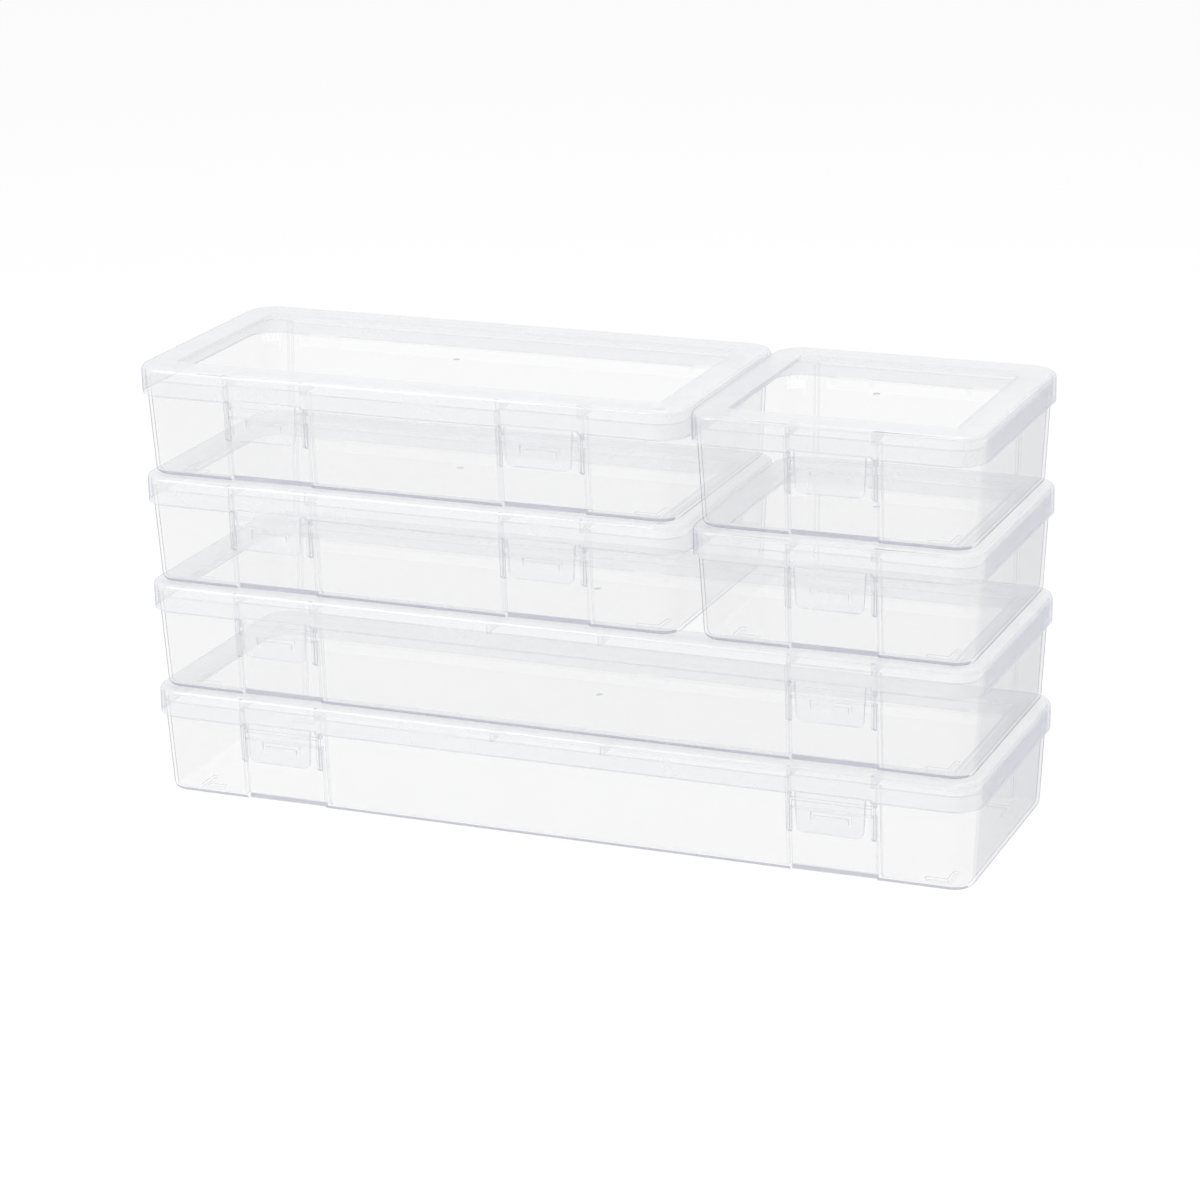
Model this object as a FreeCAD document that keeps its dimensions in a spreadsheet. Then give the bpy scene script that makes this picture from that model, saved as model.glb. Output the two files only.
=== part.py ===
import FreeCAD, Part
import math
import os
import Sketcher

# A stack of six clear storage boxes in three lengths: two long ones at the bottom, two medium ones on
# their left half and two small ones beside those. Each box is a drafted tray, a lid hinged at the back
# and one or two snap tongues at the front. X runs along the front, Y to the back, Z up. The origin is on
# the table, under the middle of the stack.

doc = FreeCAD.newDocument("StackableBoxes")

# Driving dimensions, in millimetres and degrees
drivingSizes = {
    "modulePitch": 125.0,       # length of one small box with its gap; medium is two, long is three
    "boxGap": 1.0,              # air between two boxes side by side
    "boxDepth": 120.0,          # lid, front to back
    "rimHeight": 42.0,          # tray, from its underside to its rim
    "lidRise": 6.0,             # top of the lid above the rim
    "cornerRadius": 13.0,       # lid, seen from above
    "wallThickness": 1.4,
    "floorThickness": 1.5,
    "draftAngle": 3.3,          # slope of the tray's walls
    "rimClearance": 0.5,        # between the rim and the lid's skirt
    "bottomRadius": 3.0,        # round edge under the tray
    "footHeight": 1.5,
    "footArm": 11.0,
    "footWidth": 1.8,
    "footClearance": 1.2,       # between a foot and the lid recess it nests in
    "bayWidth": 37.5,           # recess in the front wall at each snap tongue
    "bayDepth": 3.2,
    "catchDrop": 3.4,           # from the skirt's edge down to the catch bar
    "catchHeight": 3.6,
    "catchSetback": 1.9,        # catch bar behind the front of the lid
    "catchSlope": 0.8,          # how far the bar's face leans back to its top
    "guardThickness": 1.45,
    "guardSetback": 0.6,        # guard fins behind the front of the lid
    "guardDrop": 17.6,          # from the skirt's edge down to the foot of a guard
    "guardSlant": 1.7,
    "edgeGap": 0.4,             # between the skirt's edge and what ends below it
    "skirtThickness": 1.3,
    "skirtHeight": 12.4,
    "frameWidth": 14.0,         # raised border of the lid
    "frameThickness": 1.5,
    "recessDepth": 1.8,         # panel below the border
    "recessRadius": 2.0,        # small enough for the square corner of a foot
    "panelThickness": 1.2,
    "lidEdgeRadius": 2.5,
    "stopThickness": 1.4,       # stops under the border that sit on the rim
    "stopSpread": 36.0,         # between the two stops at a tongue
    "middleSpread": 50.0,       # between the two stops at the middle of a long lid
    "tongueGap": 2.1,           # between a tongue and its guards
    "tongueLength": 16.1,       # below the skirt's edge
    "tongueTipInset": 0.9,      # how much narrower each side is at the tip
    "tongueTipRadius": 3.0,
    "rootRise": 0.6,            # bend line of the tongue above the skirt's edge
    "rootGap": 0.1,
    "slotWidth": 2.0,           # relief slot beside the tongue's root
    "hookReach": 1.6,
    "hookHeight": 1.1,
    "hookClearance": 0.3,       # between the hook and the catch bar
    "hookSpread": 16.2,         # between the two gussets under a hook
    "gussetThickness": 1.3,
    "gussetHeight": 3.4,
    "gussetReach": 0.9,
    "hingeEnd": 18.0,           # back recess, from each end of the lid
    "hingeDrop": 2.1,           # hinge axis below the skirt's edge
    "pinRadius": 1.0,
    "pinClearance": 0.06,
    "earWall": 0.74,            # ear around the pin's hole
    "earThickness": 2.2,
    "lugWidth": 14.0,
    "lugGap": 0.4,
    "lugRadius": 1.7,
    "lugEnd": 14.0,             # middle of a lug, from the end of the back recess
    "stopReach": 3.5,           # heel of the lug, which just clears the back wall
    "heelThickness": 1.6,
    "openAngle": 105.0,
    "overcut": 1.0,             # how far a cutting shape reaches past what it cuts
}

sheet = doc.addObject("Spreadsheet::Sheet", "Sizes")
for row, (alias, value) in enumerate(drivingSizes.items(), start=1):
    sheet.set(f"A{row}", str(value))
    sheet.setAlias(f"A{row}", alias)
doc.recompute()

# Derived sizes, as expressions on the sheet
lidTop = "(Sizes.rimHeight + Sizes.lidRise)"
skirtEdge = f"({lidTop} - Sizes.skirtHeight)"
rimInset = "(Sizes.skirtThickness + Sizes.rimClearance)"
catchTop = f"({skirtEdge} - Sizes.catchDrop)"
catchBottom = f"({catchTop} - Sizes.catchHeight)"
earRadius = "(Sizes.pinRadius + Sizes.pinClearance + Sizes.earWall)"
hingeInset = earRadius
hingeHeight = f"({skirtEdge} - Sizes.hingeDrop)"
rootHeight = f"({skirtEdge} + Sizes.rootRise)"
tongueHalf = "(Sizes.bayWidth / 2 - Sizes.guardThickness - Sizes.tongueGap)"
halfDepth = "(Sizes.boxDepth / 2)"

# Each kind of box: how many modules long, where its tongues are, in modules from its middle, and whether
# its lid is held in the middle as well
boxKinds = {
    "long": {"modules": 3, "bays": [-1.0, 1.0], "heldInMiddle": True},
    "medium": {"modules": 2, "bays": [-0.5, 0.5], "heldInMiddle": False},
    "small": {"modules": 1, "bays": [0.0], "heldInMiddle": False},
}

# The stack: name, kind, tier from the bottom and middle of the box, in modules from the middle
stackPlan = [
    ("long_box_1", "long", 0, 0.0),
    ("long_box_2", "long", 1, 0.0),
    ("medium_box_1", "medium", 2, -0.5),
    ("medium_box_2", "medium", 3, -0.5),
    ("small_box_1", "small", 2, 1.0),
    ("small_box_2", "small", 3, 1.0),
]


def boxLength(kind):
    return f"({boxKinds[kind]['modules']} * Sizes.modulePitch - Sizes.boxGap)"


def wallInset(height):
    # Outer face of the tray's wall behind the edge of the lid, at a height above the tray's underside
    return f"({rimInset} + (Sizes.rimHeight - {height}) * tan(Sizes.draftAngle * 1 deg))"


def bind(item, **sizes):
    for name, expression in sizes.items():
        item.setExpression(name.replace("__", "."), expression)
    return item


def numberOf(expression):
    # Present value of an expression on the sheet, as a plain number
    value = sheet.evalExpression(expression)
    return float(getattr(value, "Value", value))


def roundedOutline(body, name, length, depth, radius, height):
    # Rectangle with round corners, centred on the Z axis at the given height
    sketch = body.newObject("Sketcher::SketchObject", name)
    plane = [item for item in body.Origin.OriginFeatures if item.Role == "XY_Plane"][0]
    sketch.AttachmentSupport = [(plane, "")]
    sketch.MapMode = "FlatFace"
    bind(sketch, AttachmentOffset__Base__z=height)
    halfX = numberOf(length) / 2
    halfY = numberOf(depth) / 2
    cornerSize = numberOf(radius)
    innerX = halfX - cornerSize
    innerY = halfY - cornerSize
    up = FreeCAD.Vector(0, 0, 1)
    sides = [
        ((-innerX, -halfY), (innerX, -halfY)),
        ((halfX, -innerY), (halfX, innerY)),
        ((innerX, halfY), (-innerX, halfY)),
        ((-halfX, innerY), (-halfX, -innerY)),
    ]
    for start, end in sides:
        sketch.addGeometry(Part.LineSegment(FreeCAD.Vector(*start, 0), FreeCAD.Vector(*end, 0)), False)
    quarter = math.pi / 2
    corners = [
        (innerX, -innerY, -quarter),
        (innerX, innerY, 0),
        (-innerX, innerY, quarter),
        (-innerX, -innerY, 2 * quarter),
    ]
    for centreX, centreY, turn in corners:
        circle = Part.Circle(FreeCAD.Vector(centreX, centreY, 0), up, cornerSize)
        sketch.addGeometry(Part.ArcOfCircle(circle, turn, turn + quarter), False)
    for side in range(4):
        corner = 4 + side
        sketch.addConstraint(Sketcher.Constraint("Tangent", side, 2, corner, 1))
        sketch.addConstraint(Sketcher.Constraint("Tangent", corner, 2, (side + 1) % 4, 1))
    for side, direction in enumerate(["Horizontal", "Vertical", "Horizontal", "Vertical"]):
        sketch.addConstraint(Sketcher.Constraint(direction, side))
    for corner in (5, 6, 7):
        sketch.addConstraint(Sketcher.Constraint("Equal", 4, corner))
    sketch.addConstraint(Sketcher.Constraint("Symmetric", 0, 1, 2, 1, -1, 1))
    sized = [
        ("DistanceX", (3, 1, 1, 1, 2 * halfX), length),
        ("DistanceY", (0, 1, 2, 1, 2 * halfY), depth),
        ("Radius", (4, cornerSize), radius),
    ]
    for label, arguments, expression in sized:
        index = sketch.addConstraint(Sketcher.Constraint(label, *arguments))
        sketch.renameConstraint(index, "size" + label)
        bind(sketch, **{f"Constraints__size{label}": expression})
    return sketch


def roundedBlock(name, length, depth, radius, bottom, height, taper=None, edge=None, edgeSide=None):
    # Block on a rounded outline. Its walls may lean outwards and one flat face may have round edges.
    body = doc.addObject("PartDesign::Body", name)
    sketch = roundedOutline(body, name + "Outline", length, depth, radius, bottom)
    pad = body.newObject("PartDesign::Pad", name + "Pad")
    pad.Profile = sketch
    bind(pad, Length=height)
    if taper:
        bind(pad, TaperAngle=taper)
    doc.recompute()
    if edge:
        faces = pad.Shape.Faces
        levels = [face.CenterOfMass.z for face in faces]
        level = min(levels) if edgeSide == "bottom" else max(levels)
        fillet = body.newObject("PartDesign::Fillet", name + "Fillet")
        fillet.Base = (pad, [f"Face{levels.index(level) + 1}"])
        bind(fillet, Radius=edge)
    return body


def wallPrism(name, left, right, bottom, top, outer, inner, atBack=False):
    # Prism on the front wall, or on the back wall, where left and right are counted from behind. outer and
    # inner are its faces behind the lid's edge, each as a pair: at the bottom and at the top.
    prism = doc.addObject("Part::Wedge", name)
    bind(prism, Xmin=left, X2min=left, Xmax=right, X2max=right, Ymin=bottom, Ymax=top,
         Zmin=f"{halfDepth} - {inner[0]}", Z2min=f"{halfDepth} - {inner[1]}",
         Zmax=f"{halfDepth} - {outer[0]}", Z2max=f"{halfDepth} - {outer[1]}")
    upright = FreeCAD.Rotation(FreeCAD.Vector(1, 0, 0), 90)
    if atBack:
        upright = FreeCAD.Rotation(FreeCAD.Vector(0, 0, 1), 180) * upright
    prism.Placement = FreeCAD.Placement(FreeCAD.Vector(0, 0, 0), upright)
    return prism


def crossRod(name, start, length, inset, height, radius, atBack=False):
    # Round rod along X, with its axis behind the front or the back of the lid
    rod = doc.addObject("Part::Cylinder", name)
    along = FreeCAD.Rotation(FreeCAD.Vector(0, 1, 0), 90)
    rod.Placement = FreeCAD.Placement(FreeCAD.Vector(0, 0, 0), along)
    side = f"{halfDepth} - {inset}" if atBack else f"{inset} - {halfDepth}"
    bind(rod, Radius=radius, Height=length, Placement__Base__x=start, Placement__Base__y=side,
         Placement__Base__z=height)
    return rod


def join(name, pieces):
    fuse = doc.addObject("Part::MultiFuse", name)
    fuse.Shapes = pieces
    return fuse


def cut(name, base, tools):
    result = doc.addObject("Part::Cut", name)
    result.Base = base
    result.Tool = tools[0] if len(tools) == 1 else join(name + "Tools", tools)
    return result


def bayMiddles(kind):
    return [f"({position} * Sizes.modulePitch)" for position in boxKinds[kind]["bays"]]


def lugMiddles(kind):
    reach = f"({boxLength(kind)} / 2 - Sizes.hingeEnd - Sizes.lugEnd)"
    middles = [f"(-1 * {reach})", reach]
    return middles + ["0"] if boxKinds[kind]["heldInMiddle"] else middles


def wallRecesses(name, kind, extra):
    # What the front bays and the back recess take out of the tray, grown by extra for the inside
    below = "(-1 * Sizes.overcut)"
    above = "(Sizes.rimHeight + Sizes.overcut)"
    pieces = []
    outside = (below, below)
    deep = [f"({wallInset(height)} + Sizes.bayDepth + {extra})" for height in (below, above)]
    for index, middle in enumerate(bayMiddles(kind)):
        half = f"(Sizes.bayWidth / 2 + {extra})"
        pieces.append(wallPrism(f"{name}Bay{index}", f"{middle} - {half}", f"{middle} + {half}",
                                below, above, outside, deep))
    reach = f"({boxLength(kind)} / 2 - Sizes.hingeEnd + {extra})"
    pieces.append(wallPrism(f"{name}HingeBay", f"-1 * {reach}", reach, below, above,
                            outside, deep, atBack=True))
    return pieces


def catchAndGuards(name, kind):
    # Catch bar across each bay, with a fin on each side that shields the tongue
    pieces = []
    wallAt = f"({wallInset(catchBottom)} + Sizes.bayDepth + Sizes.wallThickness / 2)"
    guardFoot = f"({skirtEdge} - Sizes.guardDrop)"
    guardTop = f"({skirtEdge} - Sizes.edgeGap)"
    guardBack = f"({wallInset(guardFoot)} + Sizes.wallThickness / 2)"
    for index, middle in enumerate(bayMiddles(kind)):
        half = "(Sizes.bayWidth / 2)"
        face = ("Sizes.catchSetback", "(Sizes.catchSetback + Sizes.catchSlope)")
        pieces.append(wallPrism(f"{name}Catch{index}", f"{middle} - {half}", f"{middle} + {half}",
                                catchBottom, catchTop, face, (wallAt, wallAt)))
        for side in (-1, 1):
            edges = [f"({middle} + {side} * {half})",
                     f"({middle} + {side} * (Sizes.bayWidth / 2 - Sizes.guardThickness))"]
            left, right = edges if side < 0 else edges[::-1]
            slantTop = f"({guardFoot} + Sizes.guardSlant)"
            ending = f"{index}{'LR'[side > 0]}"
            back = (guardBack, guardBack)
            pieces.append(wallPrism(f"{name}Guard{ending}", left, right, slantTop, guardTop,
                                    ("Sizes.guardSetback", "Sizes.guardSetback"), back))
            pieces.append(wallPrism(f"{name}GuardFoot{ending}", left, right, guardFoot, slantTop,
                                    (wallInset(guardFoot), "Sizes.guardSetback"), back))
    return pieces


def feet(name, kind):
    # L-shaped feet under the corners of the floor, which nest in the recess of the lid below
    inset = "(Sizes.frameWidth + Sizes.footClearance)"
    pieces = []
    for sideX in (-1, 1):
        for sideY in (-1, 1):
            for along, across in (("footArm", "footWidth"), ("footWidth", "footArm")):
                arm = doc.addObject("Part::Box", f"{name}Foot")
                cornerX = f"({sideX} * ({boxLength(kind)} / 2 - {inset}))"
                cornerY = f"({sideY} * ({halfDepth} - {inset}))"
                shiftX = f" - Sizes.{along}" if sideX > 0 else ""
                shiftY = f" - Sizes.{across}" if sideY > 0 else ""
                bind(arm, Length=f"Sizes.{along}", Width=f"Sizes.{across}",
                     Height="Sizes.footHeight + Sizes.floorThickness / 2",
                     Placement__Base__x=cornerX + shiftX,
                     Placement__Base__y=cornerY + shiftY,
                     Placement__Base__z="-1 * Sizes.footHeight")
                pieces.append(arm)
    return pieces


def hingeEars(name, kind):
    # A pair of ears beside each lug of the lid, and the holes for its stub pins
    ears = []
    holes = []
    innerWall = f"({wallInset(hingeHeight)} + Sizes.bayDepth + Sizes.wallThickness / 2)"
    for index, middle in enumerate(lugMiddles(kind)):
        near = "(Sizes.lugWidth / 2 + Sizes.lugGap)"
        far = f"({near} + Sizes.earThickness)"
        for side in (-1, 1):
            left = f"({middle} + {near})" if side > 0 else f"({middle} - {far})"
            right = f"({middle} + {far})" if side > 0 else f"({middle} - {near})"
            label = f"{name}Ear{index}{'LR'[side > 0]}"
            foot = f"{hingeHeight} - {earRadius}"
            head = f"{hingeHeight} + {earRadius}"
            ears.append(wallPrism(label, f"-1 * {right}", f"-1 * {left}", foot, head,
                                  (hingeInset, hingeInset), (innerWall, innerWall), atBack=True))
            ears.append(crossRod(label + "End", left, "Sizes.earThickness", hingeInset, hingeHeight,
                                 earRadius, atBack=True))
        holeHalf = f"({far} + Sizes.overcut)"
        holes.append(crossRod(f"{name}PinHole{index}", f"{middle} - {holeHalf}", f"2 * {holeHalf}",
                              hingeInset, hingeHeight, "Sizes.pinRadius + Sizes.pinClearance", atBack=True))
    return ears, holes


def makeTray(kind):
    length = boxLength(kind)
    name = kind + "Tray"
    outside = roundedBlock(name + "Outside", f"{length} - 2 * {wallInset(0)}",
                           f"Sizes.boxDepth - 2 * {wallInset(0)}", f"Sizes.cornerRadius - {wallInset(0)}",
                           "0", "Sizes.rimHeight", "Sizes.draftAngle", "Sizes.bottomRadius", "bottom")
    floorInset = f"({wallInset('Sizes.floorThickness')} + Sizes.wallThickness)"
    inside = roundedBlock(name + "Inside", f"{length} - 2 * {floorInset}",
                          f"Sizes.boxDepth - 2 * {floorInset}", f"Sizes.cornerRadius - {floorInset}",
                          "Sizes.floorThickness", "Sizes.rimHeight", "Sizes.draftAngle",
                          "Sizes.bottomRadius - Sizes.wallThickness", "bottom")
    shell = cut(name + "Shell", cut(name + "Skin", outside, wallRecesses(name + "Skin", kind, "0")),
                [cut(name + "Hollow", inside, wallRecesses(name + "Hollow", kind, "Sizes.wallThickness"))])
    ears, holes = hingeEars(name, kind)
    whole = join(name + "Whole", [shell] + catchAndGuards(name, kind) + feet(name, kind) + ears)
    return cut(name, whole, holes)


def makeLid(kind):
    length = boxLength(kind)
    name = kind + "Lid"

    def layer(part, inset, bottom, height, radius=None, **edges):
        return roundedBlock(name + part, f"{length} - 2 * {inset}", f"Sizes.boxDepth - 2 * {inset}",
                            radius or f"Sizes.cornerRadius - {inset}", bottom, height, **edges)

    block = layer("Block", "0", skirtEdge, "Sizes.skirtHeight", edge="Sizes.lidEdgeRadius", edgeSide="top")
    channel = layer("Channel", "Sizes.skirtThickness", f"{skirtEdge} - Sizes.overcut",
                    "Sizes.skirtHeight + Sizes.overcut - Sizes.frameThickness")
    seatInset = "(Sizes.frameWidth - Sizes.skirtThickness)"
    panelBottom = f"({lidTop} - Sizes.recessDepth - Sizes.panelThickness)"
    seat = layer("Seat", seatInset, panelBottom, "Sizes.recessDepth + Sizes.panelThickness + Sizes.overcut",
                 "Sizes.recessRadius + Sizes.skirtThickness")
    recess = layer("Recess", "Sizes.frameWidth", f"{lidTop} - Sizes.recessDepth",
                   "Sizes.recessDepth + Sizes.overcut", "Sizes.recessRadius")
    shell = cut(name + "Shell", block, [cut(name + "Hollow", channel, [seat]), recess])

    # Stops that sit on the tray's rim, in pairs
    added = []
    pairs = [(middle, "Sizes.stopSpread") for middle in bayMiddles(kind)]
    if boxKinds[kind]["heldInMiddle"]:
        pairs.append(("0", "Sizes.middleSpread"))
    ceiling = f"({lidTop} - Sizes.frameThickness / 2)"
    stopFront = "(Sizes.skirtThickness / 2)"
    stopBack = f"({seatInset} + Sizes.skirtThickness / 2)"
    for index, (middle, spread) in enumerate(pairs):
        for side in (-1, 1):
            centre = f"({middle} + {side} * {spread} / 2)"
            left = f"{centre} - Sizes.stopThickness / 2"
            right = f"{centre} + Sizes.stopThickness / 2"
            added.append(wallPrism(f"{name}Stop{index}{'LR'[side > 0]}", left, right, "Sizes.rimHeight",
                                   ceiling, (stopFront, stopFront), (stopBack, stopBack)))

    # Hinge lugs with their stub pins, and a heel on each that passes close to the back wall
    for index, middle in enumerate(lugMiddles(kind)):
        left = f"{middle} - Sizes.lugWidth / 2"
        pinHalf = "(Sizes.lugWidth / 2 + Sizes.lugGap + Sizes.earThickness)"
        added.append(crossRod(f"{name}Barrel{index}", left, "Sizes.lugWidth", hingeInset, hingeHeight,
                              "Sizes.lugRadius", atBack=True))
        added.append(crossRod(f"{name}Pin{index}", f"{middle} - {pinHalf}", f"2 * {pinHalf}", hingeInset,
                              hingeHeight, "Sizes.pinRadius", atBack=True))
        added.append(wallPrism(f"{name}Web{index}", f"-1 * {middle} - Sizes.lugWidth / 2",
                               f"-1 * {middle} + Sizes.lugWidth / 2", hingeHeight,
                               f"{skirtEdge} + Sizes.skirtThickness", ("0", "0"),
                               ("Sizes.skirtThickness", "Sizes.skirtThickness"), atBack=True))
        heel = doc.addObject("Part::Box", f"{name}Heel{index}")
        turn = FreeCAD.Rotation(FreeCAD.Vector(1, 0, 0), 1)
        heel.Placement = FreeCAD.Placement(FreeCAD.Vector(0, 0, 0), turn)
        lean = "(Sizes.openAngle + 180)"
        acrossHeel = f"cos({lean} * 1 deg)"
        alongHeel = f"sin({lean} * 1 deg)"
        bind(heel, Length="Sizes.lugWidth", Width="Sizes.stopReach", Height="Sizes.heelThickness",
             Placement__Base__x=left, Placement__Rotation__Angle=lean,
             Placement__Base__y=f"{halfDepth} - {hingeInset} + Sizes.heelThickness / 2 * {alongHeel}",
             Placement__Base__z=f"{hingeHeight} - Sizes.heelThickness / 2 * {acrossHeel}")
        added.append(heel)

    # Notch and bend groove above each tongue
    notches = []
    outer = "(-1 * Sizes.overcut)"
    inner = "(Sizes.skirtThickness + Sizes.rimClearance / 2)"
    for index, middle in enumerate(bayMiddles(kind)):
        half = f"({tongueHalf} + Sizes.slotWidth)"
        left = f"{middle} - {half}"
        notches.append(wallPrism(f"{name}Notch{index}", left, f"{middle} + {half}",
                                 f"{skirtEdge} - Sizes.overcut", rootHeight, (outer, outer), (inner, inner)))
        notches.append(crossRod(f"{name}Groove{index}", left, f"2 * {half}", "Sizes.skirtThickness / 2",
                                rootHeight, "Sizes.skirtThickness / 2 + Sizes.rootGap"))
    return cut(name, join(name + "Whole", [shell] + added), notches)


def makeTongue():
    # Snap tongue with its bend bead, hook and gussets, centred on its bay
    body = doc.addObject("PartDesign::Body", "tongueBlade")
    sketch = body.newObject("Sketcher::SketchObject", "tongueOutline")
    plane = [item for item in body.Origin.OriginFeatures if item.Role == "XZ_Plane"][0]
    sketch.AttachmentSupport = [(plane, "")]
    sketch.MapMode = "FlatFace"
    bind(sketch, AttachmentOffset__Base__z=halfDepth)
    half = numberOf(tongueHalf)
    tip = half - numberOf("Sizes.tongueTipInset")
    low = numberOf(f"{skirtEdge} - Sizes.tongueLength")
    high = numberOf(rootHeight)
    corners = [(-half, high), (-tip, low), (tip, low), (half, high)]
    for index in range(4):
        start = FreeCAD.Vector(*corners[index], 0)
        end = FreeCAD.Vector(*corners[(index + 1) % 4], 0)
        sketch.addGeometry(Part.LineSegment(start, end), False)
    for index in range(4):
        sketch.addConstraint(Sketcher.Constraint("Coincident", index, 2, (index + 1) % 4, 1))
    sketch.addConstraint(Sketcher.Constraint("Symmetric", 1, 1, 1, 2, -2))
    sketch.addConstraint(Sketcher.Constraint("Symmetric", 3, 1, 3, 2, -2))
    sized = [("root", "DistanceX", (3, 2, 3, 1, 2 * half), f"2 * {tongueHalf}"),
             ("tip", "DistanceX", (1, 1, 1, 2, 2 * tip), f"2 * ({tongueHalf} - Sizes.tongueTipInset)"),
             ("low", "DistanceY", (-1, 1, 1, 1, low), f"{skirtEdge} - Sizes.tongueLength"),
             ("high", "DistanceY", (-1, 1, 3, 1, high), rootHeight)]
    for label, kindOf, arguments, expression in sized:
        index = sketch.addConstraint(Sketcher.Constraint(kindOf, *arguments))
        sketch.renameConstraint(index, label)
        bind(sketch, **{f"Constraints__{label}": expression})
    pad = body.newObject("PartDesign::Pad", "tonguePad")
    pad.Profile = sketch
    pad.Reversed = True
    bind(pad, Length="Sizes.skirtThickness")
    doc.recompute()
    tips = []
    for index, edge in enumerate(pad.Shape.Edges, start=1):
        across = abs(edge.tangentAt(edge.FirstParameter).y) > 0.9
        if across and edge.CenterOfMass.z < (low + high) / 2:
            tips.append(f"Edge{index}")
    fillet = body.newObject("PartDesign::Fillet", "tongueTips")
    fillet.Base = (pad, tips)
    bind(fillet, Radius="Sizes.tongueTipRadius")

    bead = crossRod("tongueBead", f"-1 * {tongueHalf}", f"2 * {tongueHalf}", "Sizes.skirtThickness / 2",
                    rootHeight, "Sizes.skirtThickness / 2")
    hookTop = f"({catchBottom} - Sizes.hookClearance)"
    hookFoot = f"({hookTop} - Sizes.hookHeight)"
    face = "(Sizes.skirtThickness / 2)"
    hookSpan = "((Sizes.hookSpread + Sizes.gussetThickness) / 2)"
    hookEnd = "(Sizes.skirtThickness + Sizes.hookReach)"
    hook = wallPrism("tongueHook", f"-1 * {hookSpan}", hookSpan, hookFoot, hookTop,
                     (face, face), (hookEnd, hookEnd))
    pieces = [body, bead, hook]
    for side in (-1, 1):
        middle = f"({side} * Sizes.hookSpread / 2)"
        left = f"{middle} - Sizes.gussetThickness / 2"
        right = f"{middle} + Sizes.gussetThickness / 2"
        reach = "(Sizes.skirtThickness + Sizes.gussetReach)"
        pieces.append(wallPrism(f"tongueGusset{'LR'[side > 0]}", left, right,
                                f"{hookFoot} - Sizes.gussetHeight", f"{hookFoot} + Sizes.hookHeight / 2",
                                (face, face), ("Sizes.skirtThickness", reach)))
    return join("snapTongue", pieces)


def place(master, label, middle, level):
    # One sub-part of the stack: a linked copy of its master, at its own place
    copy = doc.addObject("App::Link", label)
    copy.LinkedObject = master
    copy.Label = label
    bind(copy, Placement__Base__x=middle, Placement__Base__z=level)
    return copy


trays = {kind: makeTray(kind) for kind in boxKinds}
lids = {kind: makeLid(kind) for kind in boxKinds}
tongue = makeTongue()

subParts = []
for boxName, kind, level, position in stackPlan:
    middle = f"{position} * Sizes.modulePitch"
    height = f"Sizes.footHeight + {level} * {lidTop}"
    subParts.append(place(trays[kind], boxName + "_base", middle, height))
    subParts.append(place(lids[kind], boxName + "_lid", middle, height))
    bays = boxKinds[kind]["bays"]
    endings = [""] if len(bays) == 1 else ["_left", "_right"]
    for bay, ending in zip(bays, endings):
        bayMiddle = f"{middle} + {bay} * Sizes.modulePitch"
        subParts.append(place(tongue, boxName + "_latch" + ending, bayMiddle, height))

doc.recompute()
for item in doc.Objects:
    if "Invalid" in item.State or "Error" in item.State:
        raise RuntimeError(f"{item.Label} is {item.State}")
for part in subParts:
    shape = part.Shape
    if shape.isNull() or not shape.isValid() or len(shape.Solids) != 1:
        raise RuntimeError(f"{part.Label} has no single valid solid")

os.makedirs("parts", exist_ok=True)
for part in subParts:
    part.Shape.exportStep(f"parts/{part.Label}.step")
    print(part.Label, "volume", round(part.Shape.Volume, 1), "mm3")
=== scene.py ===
import bmesh
import bpy
import math
from mathutils import Euler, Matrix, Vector


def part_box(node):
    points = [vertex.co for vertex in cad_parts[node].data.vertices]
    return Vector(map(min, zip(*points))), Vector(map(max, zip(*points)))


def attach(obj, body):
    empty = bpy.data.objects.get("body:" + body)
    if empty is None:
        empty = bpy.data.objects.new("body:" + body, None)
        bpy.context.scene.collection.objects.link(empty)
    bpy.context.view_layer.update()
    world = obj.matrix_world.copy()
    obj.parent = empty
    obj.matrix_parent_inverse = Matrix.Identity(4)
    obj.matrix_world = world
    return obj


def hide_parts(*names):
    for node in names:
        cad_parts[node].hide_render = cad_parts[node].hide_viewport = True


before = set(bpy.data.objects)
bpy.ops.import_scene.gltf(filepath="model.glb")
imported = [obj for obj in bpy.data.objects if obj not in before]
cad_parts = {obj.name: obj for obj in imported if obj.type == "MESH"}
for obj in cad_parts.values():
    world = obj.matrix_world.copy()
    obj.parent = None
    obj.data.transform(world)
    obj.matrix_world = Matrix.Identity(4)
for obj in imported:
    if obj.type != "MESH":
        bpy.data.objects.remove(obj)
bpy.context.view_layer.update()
mm = 0.001
scene = bpy.context.scene

# each box with its latches
boxes = {
    "long_box_1": ("latch_left", "latch_right"),
    "long_box_2": ("latch_left", "latch_right"),
    "medium_box_1": ("latch_left", "latch_right"),
    "medium_box_2": ("latch_left", "latch_right"),
    "small_box_1": ("latch",),
    "small_box_2": ("latch",),
}


# helpers for shader nodes

def shaderTree(name):
    material = bpy.data.materials.new(name)
    material.use_nodes = True
    tree = material.node_tree
    tree.nodes.clear()
    return material, tree


def node(tree, kind, **settings):
    made = tree.nodes.new(kind)
    for key, value in settings.items():
        if key in made.inputs:
            made.inputs[key].default_value = value
        else:
            setattr(made, key, value)
    return made


def ranged(tree, value, low, high, start=0.0, end=1.0):
    # what runs from start to end comes out running from low to high
    made = node(tree, "ShaderNodeMapRange")
    made.inputs["From Min"].default_value = start
    made.inputs["From Max"].default_value = end
    made.inputs["To Min"].default_value = low
    made.inputs["To Max"].default_value = high
    tree.links.new(value, made.inputs["Value"])
    return made.outputs["Result"]


def times(tree, first, second):
    made = node(tree, "ShaderNodeMath", operation="MULTIPLY")
    tree.links.new(first, made.inputs[0])
    tree.links.new(second, made.inputs[1])
    return made.outputs[0]


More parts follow.
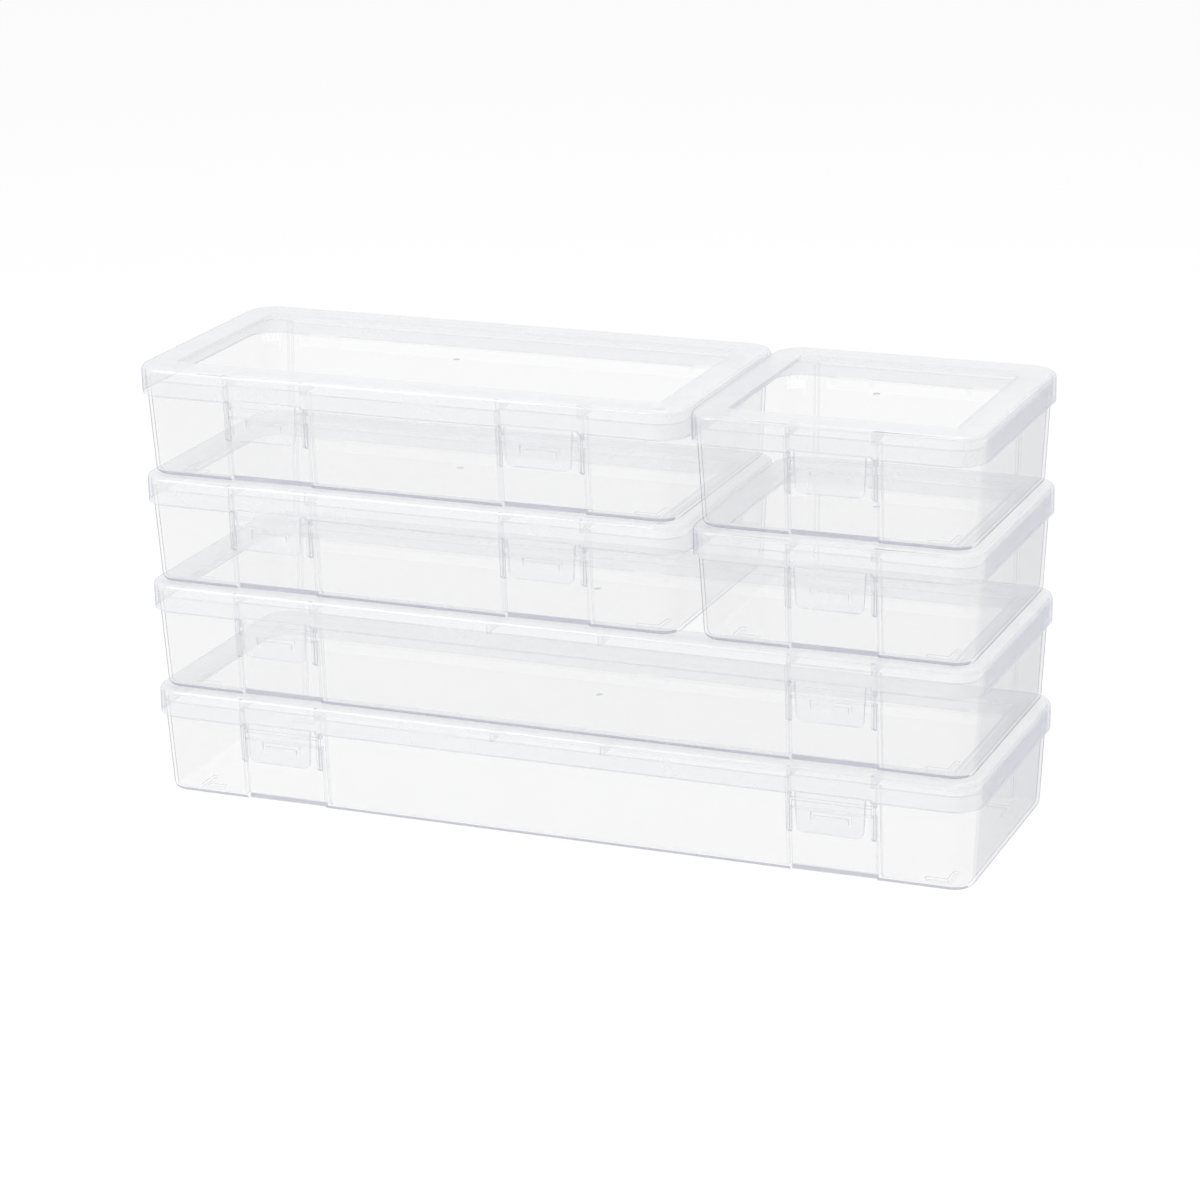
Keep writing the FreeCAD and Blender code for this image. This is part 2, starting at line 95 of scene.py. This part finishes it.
def eitherRay(tree, first, second):
    # 1 for rays of these two kinds, 0 for others
    path = node(tree, "ShaderNodeLightPath")
    made = node(tree, "ShaderNodeMath", operation="MAXIMUM")
    tree.links.new(path.outputs[first], made.inputs[0])
    tree.links.new(path.outputs[second], made.inputs[1])
    return made.outputs[0]


def mixed(tree, share, under, over):
    made = node(tree, "ShaderNodeMixShader")
    tree.links.new(share, made.inputs["Fac"])
    tree.links.new(under, made.inputs[1])
    tree.links.new(over, made.inputs[2])
    return made.outputs["Shader"]


# plastic: nine finishes of one clear resin; three of them are painted shade: grey lines on rounded
# edges, fainter at the back, and a dark outline along the bottom front, standing in for the shade
# that refraction shows there

resin = {
    "ior": 1.49,
    "cloudDetail": 3.0,
    "cloudRoughness": 0.55,
    "cloudFrom": 0.3,
    "cloudTo": 0.7,
    "leastMilk": 0.93,  # in parts of a finish's own milk
    "mostMilk": 1.07,
    "grainDetail": 4.0,
    "grainRoughness": 0.6,
    "grainDepth": 0.2 * mm,
    "smoothest": 0.8,  # in parts of its own roughness
    "roughest": 1.2,
    "slantBlend": 0.5,
    "passesOn": 0.9,
}


def clearPlastic(name, look):
    # a thin translucent wall: what is behind it shows through, milk and gloss lie over that
    material, tree = shaderTree(name)
    link = tree.links.new
    where = node(tree, "ShaderNodeTexCoord").outputs["Object"]

    cloud = node(tree, "ShaderNodeTexNoise", Scale=look["cloudScale"],
                 Detail=resin["cloudDetail"], Roughness=resin["cloudRoughness"])
    link(where, cloud.inputs["Vector"])
    milk = ranged(tree, cloud.outputs["Fac"], look["milk"] * resin["leastMilk"],
                  look["milk"] * resin["mostMilk"], resin["cloudFrom"], resin["cloudTo"])
    tone = node(tree, "ShaderNodeValToRGB")
    tone.color_ramp.elements[0].color = (*look["shade"], 1)
    tone.color_ramp.elements[1].color = (*look["light"], 1)
    tone.color_ramp.elements[0].position = resin["cloudFrom"]
    tone.color_ramp.elements[1].position = resin["cloudTo"]
    link(cloud.outputs["Fac"], tone.inputs["Fac"])

    grain = node(tree, "ShaderNodeTexNoise", Scale=look["grainScale"],
                 Detail=resin["grainDetail"], Roughness=resin["grainRoughness"])
    link(where, grain.inputs["Vector"])
    bump = node(tree, "ShaderNodeBump", Strength=look["grain"], Distance=resin["grainDepth"])
    link(grain.outputs["Fac"], bump.inputs["Height"])
    rough = ranged(tree, grain.outputs["Fac"], look["roughness"] * resin["smoothest"],
                   look["roughness"] * resin["roughest"])

    through = node(tree, "ShaderNodeBsdfTransparent", Color=(*look["tint"], 1))
    body = node(tree, "ShaderNodeBsdfPrincipled", IOR=resin["ior"])
    body.inputs["Specular IOR Level"].default_value = look["shine"]
    link(tone.outputs["Color"], body.inputs["Base Color"])
    link(rough, body.inputs["Roughness"])
    link(bump.outputs["Normal"], body.inputs["Normal"])
    # milk scatters light onwards, so what lies behind a wall is hardly in its shade
    lit = eitherRay(tree, "Is Shadow Ray", "Is Diffuse Ray")
    onwards = ranged(tree, lit, 1.0, 1 - resin["passesOn"])
    wall = mixed(tree, times(tree, milk, onwards), through.outputs["BSDF"], body.outputs["BSDF"])

    gloss = node(tree, "ShaderNodeBsdfAnisotropic", Color=(*look["slantColour"], 1),
                 Roughness=look["roughness"])
    link(bump.outputs["Normal"], gloss.inputs["Normal"])
    slant = node(tree, "ShaderNodeLayerWeight", Blend=resin["slantBlend"])
    sheen = ranged(tree, slant.outputs["Facing"], look["gloss"], look["slantGloss"],
                   look["slantFrom"])
    coated = mixed(tree, times(tree, sheen, onwards), wall, gloss.outputs["BSDF"])
    out = node(tree, "ShaderNodeOutputMaterial")
    link(coated, out.inputs["Surface"])
    return material


# milk covers what is behind a wall, in tones from shade to light, and tint colours the rest;
# gloss rises to slantGloss from where a wall is seen as flatly as slantFrom
plasticLooks = {
    "clearPanel": {
        "milk": 0.012, "tint": (0.999, 0.999, 0.999),
        "shade": (0.90, 0.90, 0.91), "light": (0.94, 0.94, 0.95), "cloudScale": 30.0,
        "roughness": 0.10, "grain": 0.10, "grainScale": 900.0, "shine": 0.5,
        "gloss": 0.008, "slantGloss": 0.08, "slantFrom": 0.60, "slantColour": (0.90, 0.91, 0.93),
    },
    "trayFloor": {
        "milk": 0.060, "tint": (0.998, 0.998, 0.998),
        "shade": (0.86, 0.86, 0.87), "light": (0.90, 0.90, 0.91), "cloudScale": 30.0,
        "roughness": 0.16, "grain": 0.15, "grainScale": 900.0, "shine": 0.5,
        "gloss": 0.010, "slantGloss": 0.10, "slantFrom": 0.60, "slantColour": (0.70, 0.71, 0.76),
    },
    "tintedWall": {
        "milk": 0.115, "tint": (0.996, 0.996, 0.996),
        "shade": (0.86, 0.86, 0.865), "light": (0.90, 0.90, 0.905), "cloudScale": 30.0,
        "roughness": 0.16, "grain": 0.15, "grainScale": 900.0, "shine": 0.5,
        "gloss": 0.010, "slantGloss": 1.0, "slantFrom": 0.72, "slantColour": (0.40, 0.41, 0.48),
    },
    "skirtWall": {
        "milk": 0.27, "tint": (0.997, 0.997, 0.999),
        "shade": (0.88, 0.885, 0.905), "light": (0.91, 0.915, 0.93), "cloudScale": 30.0,
        "roughness": 0.20, "grain": 0.2, "grainScale": 900.0, "shine": 0.5,
        "gloss": 0.015, "slantGloss": 0.8, "slantFrom": 0.60, "slantColour": (0.58, 0.60, 0.68),
    },
    "polishedRim": {
        "milk": 0.42, "tint": (0.997, 0.997, 0.998),
        "shade": (0.85, 0.855, 0.865), "light": (0.88, 0.885, 0.895), "cloudScale": 30.0,
        "roughness": 0.12, "grain": 0.05, "grainScale": 900.0, "shine": 1.0,
        "gloss": 0.03, "slantGloss": 0.6, "slantFrom": 0.60, "slantColour": (0.67, 0.68, 0.72),
    },
    "frostedBorder": {
        "milk": 0.44, "tint": (0.996, 0.996, 0.997),
        "shade": (0.815, 0.82, 0.83), "light": (0.84, 0.845, 0.855), "cloudScale": 40.0,
        "roughness": 0.45, "grain": 0.5, "grainScale": 1500.0, "shine": 0.5,
        "gloss": 0.02, "slantGloss": 0.35, "slantFrom": 0.60, "slantColour": (0.78, 0.79, 0.82),
    },
    # painted shade: grey lines on the front rounded edges, tongue blades, gussets and gate marks,
    # standing in for the dark lines refraction shows at edges
    "paintedEdgeShade": {
        "milk": 0.55, "tint": (0.93, 0.935, 0.95),
        "shade": (0.62, 0.635, 0.68), "light": (0.72, 0.735, 0.78), "cloudScale": 60.0,
        "roughness": 0.16, "grain": 0.1, "grainScale": 900.0, "shine": 1.0,
        "gloss": 0.05, "slantGloss": 0.50, "slantFrom": 0.40, "slantColour": (0.62, 0.63, 0.70),
    },
    # painted shade, fainter: the same grey lines on edges at the back
    "paintedFaintEdgeShade": {
        "milk": 0.30, "tint": (0.98, 0.98, 0.985),
        "shade": (0.74, 0.75, 0.78), "light": (0.80, 0.81, 0.84), "cloudScale": 60.0,
        "roughness": 0.16, "grain": 0.1, "grainScale": 900.0, "shine": 1.0,
        "gloss": 0.03, "slantGloss": 0.30, "slantFrom": 0.60, "slantColour": (0.70, 0.71, 0.77),
    },
    # painted shade: a dark outline along the bottom front of each tray
    "paintedBaseShade": {
        "milk": 0.80, "tint": (0.93, 0.935, 0.95),
        "shade": (0.48, 0.49, 0.56), "light": (0.58, 0.59, 0.66), "cloudScale": 60.0,
        "roughness": 0.16, "grain": 0.1, "grainScale": 900.0, "shine": 1.0,
        "gloss": 0.05, "slantGloss": 0.70, "slantFrom": 0.40, "slantColour": (0.50, 0.51, 0.59),
    },
}
plastic = {name: clearPlastic(name, look) for name, look in plasticLooks.items()}
print("materials made:", len(plastic))


# mouldings: merged copies of the solids with small round edges

moulding = {
    "edgeRound": 0.3 * mm,
    "edgeSegments": 2,
    "edgeAngle": math.radians(32),
    "shortestEdge": 0.6 * mm,
    "smoothAngle": math.radians(25),
    "flatAngle": math.radians(1),
    "mergeReach": 0.001 * mm,
}
finishesAndPaintedShades = list(plasticLooks)


def isSharp(edge):
    if not edge.is_manifold or edge.calc_length() < moulding["shortestEdge"]:
        return False
    return edge.calc_face_angle(0) > moulding["edgeAngle"]


def cutAcross(bm, levels):
    # new edges at these heights, where a finish ends in the middle of a face
    for level in levels:
        bmesh.ops.bisect_plane(bm, geom=bm.verts[:] + bm.edges[:] + bm.faces[:],
                               dist=moulding["mergeReach"],
                               plane_co=(0, 0, level), plane_no=(0, 0, 1))


def refined(nodeName, pieceName, region, line, levels=()):
    # region tells a face's finish, and line that of a rounded edge, or None where it is like
    # its faces
    lo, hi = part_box(nodeName)
    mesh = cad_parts[nodeName].data.copy()
    mesh.name = pieceName
    bm = bmesh.new()
    bm.from_mesh(mesh)
    bmesh.ops.remove_doubles(bm, verts=bm.verts, dist=moulding["mergeReach"])
    cutAcross(bm, levels)
    for face in bm.faces:
        face.material_index = finishesAndPaintedShades.index(region(face.calc_center_median(), face.normal))
    bmesh.ops.dissolve_limit(bm, angle_limit=moulding["flatAngle"], verts=bm.verts,
                             edges=bm.edges, delimit={"MATERIAL"})
    rounded = bmesh.ops.bevel(bm, geom=[edge for edge in bm.edges if isSharp(edge)],
                              offset=moulding["edgeRound"], offset_type="OFFSET",
                              affect="EDGES", segments=moulding["edgeSegments"],
                              profile=0.5, material=-1, clamp_overlap=False)
    roundedIndex = len(finishesAndPaintedShades)
    for face in rounded["faces"]:
        face.material_index = roundedIndex
    cutAcross(bm, levels)
    for face in bm.faces:
        if face.material_index == roundedIndex:
            centre = face.calc_center_median()
            face.material_index = finishesAndPaintedShades.index(line(centre) or region(centre, face.normal))
    for vert in bm.verts:  # nothing stands out of the solid's own box
        vert.co = [min(max(vert.co[i], lo[i]), hi[i]) for i in range(3)]
    for face in bm.faces:
        face.smooth = True
    mesh.materials.clear()
    for name in finishesAndPaintedShades:
        mesh.materials.append(plastic[name])
    bm.to_mesh(mesh)
    bm.free()
    piece = bpy.data.objects.new(pieceName, mesh)
    scene.collection.objects.link(piece)
    mesh.set_sharp_from_angle(angle=moulding["smoothAngle"])
    evened = piece.modifiers.new("evened", "WEIGHTED_NORMAL")  # large flat faces keep their normal
    evened.keep_sharp = True
    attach(piece, nodeName)
    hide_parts(nodeName)
    return piece


lidLook = {
    "borderWidth": 14 * mm,
    "borderMargin": 0.05 * mm,
    "skirtHeight": 12.6 * mm,
    "skirtThickness": 1.6 * mm,
    "edgeRadius": 2.6 * mm,
    "lugReach": 3 * mm,
    "lugSide": 0.9,  # this and the next two are shares of a face's normal
    "upright": 0.2,
    "flat": 0.97,
}


def lidFinishAndPaintedShade(nodeName):
    lo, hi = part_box(nodeName)
    inside = lidLook["borderWidth"] + lidLook["borderMargin"]
    skirtFoot = hi.z - lidLook["skirtHeight"]
    lugFront = hi.y - lidLook["lugReach"]

    def across(centre):
        return min(centre.x - lo.x, hi.x - centre.x, centre.y - lo.y, hi.y - centre.y)

    def region(centre, normal):
        onLug = centre.y > lugFront and abs(normal.x) > lidLook["lugSide"]
        if onLug or across(centre) > inside or centre.z < skirtFoot:
            return "clearPanel"
        if abs(normal.z) < lidLook["upright"]:
            return "skirtWall"
        onRim = across(centre) < lidLook["edgeRadius"] and normal.z < lidLook["flat"]
        return "polishedRim" if onRim else "frostedBorder"

    # rim and skirt edges get painted edge shade, fainter at the back by the lugs
    def line(centre):
        if across(centre) > lidLook["skirtThickness"] or centre.z < skirtFoot:
            return None
        return "paintedEdgeShade" if centre.y < lugFront else "paintedFaintEdgeShade"
    return region, line


trayLook = {
    "earReach": 6.5 * mm,
    "earHeight": 35.0 * mm,
    "earRadius": 2.0 * mm,
    "footHeight": 1.45 * mm,
    # how high the painted shade of the bottom outline reaches
    "paintedOutlineRise": 3.6 * mm,
    "frontReach": 8 * mm,
    "guardFoot": 19.5 * mm,
    "flat": 0.97,  # this and the next two are shares of a face's normal
    "frontward": 0.1,
    "level": 0.9,
}


def trayFinishAndPaintedShade(nodeName):
    lo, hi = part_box(nodeName)

    def onEar(centre):
        aside = abs(centre.z - lo.z - trayLook["earHeight"])
        return centre.y > hi.y - trayLook["earReach"] and aside < trayLook["earRadius"]

    def atFront(centre):
        return centre.y < lo.y + trayLook["frontReach"]

    def region(centre, normal):
        height = centre.z - lo.z
        if height < trayLook["footHeight"] or onEar(centre):
            return "clearPanel"
        outward = -trayLook["flat"] < normal.z and normal.y < -trayLook["frontward"]
        # painted shade: the lower front band of the tray is drawn as a dark outline
        if height < trayLook["paintedOutlineRise"] and atFront(centre) and outward:
            return "paintedBaseShade"
        return "trayFloor" if abs(normal.z) > trayLook["level"] else "tintedWall"

    # painted edge shade: darker on the guards and along the front of the floor, fainter elsewhere
    def line(centre):
        height = centre.z - lo.z
        if onEar(centre):
            return None
        atGuard = atFront(centre) and height > trayLook["guardFoot"]
        atFloor = trayLook["footHeight"] < height < trayLook["paintedOutlineRise"]
        return "paintedEdgeShade" if atGuard or atFloor and centre.y < 0 else "paintedFaintEdgeShade"
    return region, line, (lo.z + trayLook["paintedOutlineRise"], lo.z + trayLook["guardFoot"])


tongueLook = {
    "bladeThickness": 1.5 * mm,
    "gussetSide": 0.5,  # a share of a face's normal
}


def tongueFinishAndPaintedShade(nodeName):
    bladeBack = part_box(nodeName)[0].y + tongueLook["bladeThickness"]

    def region(centre, normal):
        if centre.y < bladeBack:
            return "skirtWall"
        # the gussets get painted edge shade
        return "paintedEdgeShade" if abs(normal.x) > tongueLook["gussetSide"] else "clearPanel"

    # the blade's rounded edges get painted edge shade
    def line(centre):
        return "paintedEdgeShade" if centre.y < bladeBack else None
    return region, line


for boxName, latches in boxes.items():
    trayNode, lidNode = boxName + "_base", boxName + "_lid"
    refined(trayNode, boxName + "_tray", *trayFinishAndPaintedShade(trayNode))
    refined(lidNode, boxName + "_cover", *lidFinishAndPaintedShade(lidNode))
    for latch in latches:
        tongueNode = boxName + "_" + latch
        tongueName = tongueNode.replace("latch", "tongue")
        refined(tongueNode, tongueName, *tongueFinishAndPaintedShade(tongueNode))


# gate marks: a small round spot in the middle of each lid panel

gateMark = {
    "radius": 1.6 * mm,
    "rise": 0.25 * mm,
    "panelDepth": 1.8 * mm,
    "panelGap": 0.01 * mm,
    "outline": ((0, 0.3), (0.45, 0.35), (0.7, 1), (1, 0)),  # in parts of radius and rise
    "steps": 32,
    "mostSides": 64,
}

for boxName in boxes:
    lo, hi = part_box(boxName + "_lid")
    bm = bmesh.new()
    rim = [bm.verts.new((gateMark["radius"] * across, 0, gateMark["rise"] * up))
           for across, up in gateMark["outline"]]
    edges = [bm.edges.new(pair) for pair in zip(rim, rim[1:])]
    bmesh.ops.spin(bm, geom=rim + edges, cent=(0, 0, 0), axis=(0, 0, 1), angle=math.tau,
                   steps=gateMark["steps"], use_merge=True)
    bmesh.ops.remove_doubles(bm, verts=bm.verts, dist=moulding["mergeReach"])
    bmesh.ops.holes_fill(bm, edges=bm.edges, sides=gateMark["mostSides"])
    bmesh.ops.recalc_face_normals(bm, faces=bm.faces)
    top = hi.z - gateMark["panelDepth"]
    middle = ((lo.x + hi.x) / 2, (lo.y + hi.y) / 2, top + gateMark["panelGap"])
    bmesh.ops.translate(bm, verts=bm.verts, vec=middle)
    mesh = bpy.data.meshes.new(boxName + "_gate_mark")
    bm.to_mesh(mesh)
    bm.free()
    # the spot is drawn in the painted edge shade
    mesh.materials.append(plastic["paintedEdgeShade"])
    mark = bpy.data.objects.new(boxName + "_gate_mark", mesh)
    scene.collection.objects.link(mark)
    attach(mark, boxName + "_lid")
print("gate marks made:", len(boxes))


# floor and light: camera and gloss see both as bright white, and all else gets the softer light

studio = {
    "floorSize": 8.0,
    "floorColour": (0.9, 0.9, 0.9),
    "floorGlow": 1.05,
    "keepShadow": 0.25,
    "worldStrength": 0.75,
    "worldSeen": 1.0,
    "bounces": 12,
    "clearBounces": 96,
}

floorMesh = bpy.data.meshes.new("studioFloor")
bm = bmesh.new()
bmesh.ops.create_grid(bm, x_segments=1, y_segments=1, size=studio["floorSize"])
bm.to_mesh(floorMesh)
bm.free()
floor = bpy.data.objects.new("studioFloor", floorMesh)
scene.collection.objects.link(floor)
material, tree = shaderTree("studioFloor")
paper = node(tree, "ShaderNodeBsdfDiffuse", Color=(*studio["floorColour"], 1))
glow = node(tree, "ShaderNodeEmission", Color=(1, 1, 1, 1), Strength=studio["floorGlow"])
seen = eitherRay(tree, "Is Camera Ray", "Is Glossy Ray")
share = node(tree, "ShaderNodeMath", operation="MULTIPLY")
tree.links.new(seen, share.inputs[0])
share.inputs[1].default_value = 1 - studio["keepShadow"]
surface = mixed(tree, share.outputs[0], paper.outputs["BSDF"], glow.outputs["Emission"])
out = node(tree, "ShaderNodeOutputMaterial")
tree.links.new(surface, out.inputs["Surface"])
floorMesh.materials.append(material)

world = bpy.data.worlds.new("studioWorld")
scene.world = world
world.use_nodes = True
tree = world.node_tree
tree.nodes.clear()
soft = node(tree, "ShaderNodeBackground", Color=(1, 1, 1, 1), Strength=studio["worldStrength"])
white = node(tree, "ShaderNodeBackground", Color=(1, 1, 1, 1), Strength=studio["worldSeen"])
seen = eitherRay(tree, "Is Camera Ray", "Is Glossy Ray")
surface = mixed(tree, seen, soft.outputs["Background"], white.outputs["Background"])
out = node(tree, "ShaderNodeOutputWorld")
tree.links.new(surface, out.inputs["Surface"])

lamps = {
    # name: place, what it looks at, size, power
    "keyPanel": ((-1.0, -1.1, 1.3), (0, 0, 0.1), 0.9, 9.0),
    "topPanel": ((0.3, 0.3, 1.6), (0, 0, 0.1), 1.2, 6.0),
}
for name, (place, target, size, power) in lamps.items():
    lamp = bpy.data.lights.new(name, "AREA")
    lamp.shape = "SQUARE"
    lamp.size = size
    lamp.energy = power
    holder = bpy.data.objects.new(name, lamp)
    holder.location = place
    aim = Vector(target) - Vector(place)
    holder.rotation_euler = aim.to_track_quat("-Z", "Y").to_euler()
    scene.collection.objects.link(holder)

# camera: long lens from the front right and above
view = {
    "place": (584.7 * mm, -1411.5 * mm, 585.0 * mm),
    "turn": (72.0627, 1.1447, 22.0894),
    "lens": 112.65,
    "sensor": 36.0,
    "farthest": 50.0,
}
lens = bpy.data.cameras.new("photoCamera")
lens.lens = view["lens"]
lens.sensor_width = view["sensor"]
lens.clip_end = view["farthest"]
camera = bpy.data.objects.new("photoCamera", lens)
camera.location = view["place"]
camera.rotation_euler = Euler([math.radians(angle) for angle in view["turn"]], "XYZ")
scene.collection.objects.link(camera)
scene.camera = camera

scene.view_settings.view_transform = "Standard"
scene.cycles.transparent_max_bounces = studio["clearBounces"]
scene.cycles.max_bounces = studio["bounces"]
print("studio made, lamps:", len(lamps))
